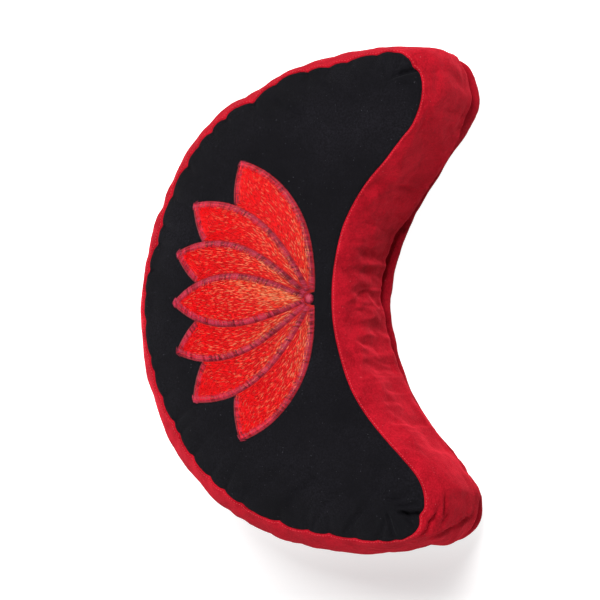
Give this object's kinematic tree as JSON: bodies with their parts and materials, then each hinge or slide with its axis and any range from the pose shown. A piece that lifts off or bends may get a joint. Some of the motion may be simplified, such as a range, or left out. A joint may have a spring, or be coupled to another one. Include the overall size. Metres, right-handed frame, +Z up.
{
  "type": "half-moon meditation cushion",
  "caption": "Crescent floor cushion for sitting cross-legged, with a black face, a stitched lotus and a red side band over a concealed placket.",
  "frame": {"origin": "on the resting plane, under the middle of the cushion's box", "axes": "+Z up out of the face, +X from horn to horn, -Y out of the hollow side"},
  "size_m": [0.4532, 0.3016, 0.1517],
  "materials": {
    "face_cotton": "matt plain-woven cotton",
    "band_cotton": "brushed cotton with a short soft nap",
    "back_cotton": "matt plain-woven cotton",
    "lotus_thread": "glossy embroidery thread"
  },
  "bodies": {
    "root": {"cushion_body": "band_cotton", "side_band": "band_cotton", "face_panel": "face_cotton", "back_panel": "back_cotton", "lotus_petal_middle": "lotus_thread", "lotus_petal_inner_right": "lotus_thread", "lotus_petal_inner_left": "lotus_thread", "lotus_petal_outer_right": "lotus_thread", "lotus_petal_outer_left": "lotus_thread", "lotus_petal_low_right": "lotus_thread", "lotus_petal_low_left": "lotus_thread"}
  },
  "joints": []
}
